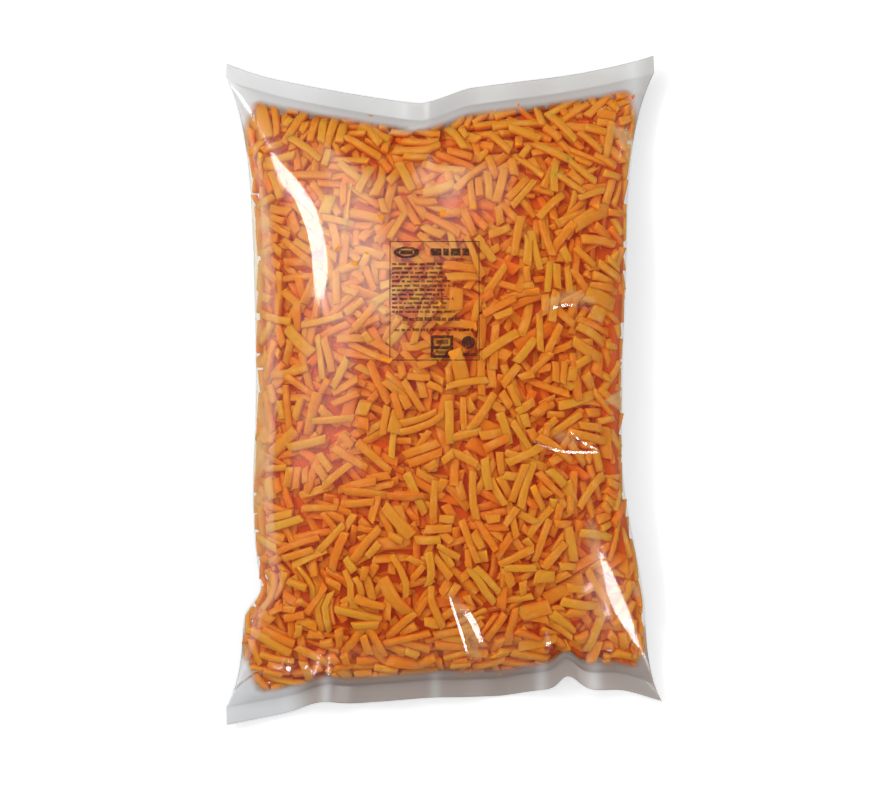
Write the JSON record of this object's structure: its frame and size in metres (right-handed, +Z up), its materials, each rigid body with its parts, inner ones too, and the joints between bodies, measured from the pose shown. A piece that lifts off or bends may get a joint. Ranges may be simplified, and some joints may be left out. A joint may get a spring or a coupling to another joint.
{
  "type": "bag of shredded cheese",
  "caption": "Clear film pillow bag full of orange shredded cheddar, heat sealed across both ends, lying on its back.",
  "frame": {"origin": "middle of the bag's outline seen from above, on the surface that it lies on", "axes": "+Z up through the shown face, +Y along the bag towards its top seal, +X across it to the right of the shown face"},
  "size_m": [0.2838, 0.4361, 0.0719],
  "materials": {
    "cheddar": "matte, slightly waxy orange cheese, dusted pale in places",
    "clear_film": "clear glossy packing film with a faint haze",
    "black_print": "thin black ink on film"
  },
  "bodies": {
    "root": {"cheese_bag": "cheddar"}
  },
  "joints": []
}
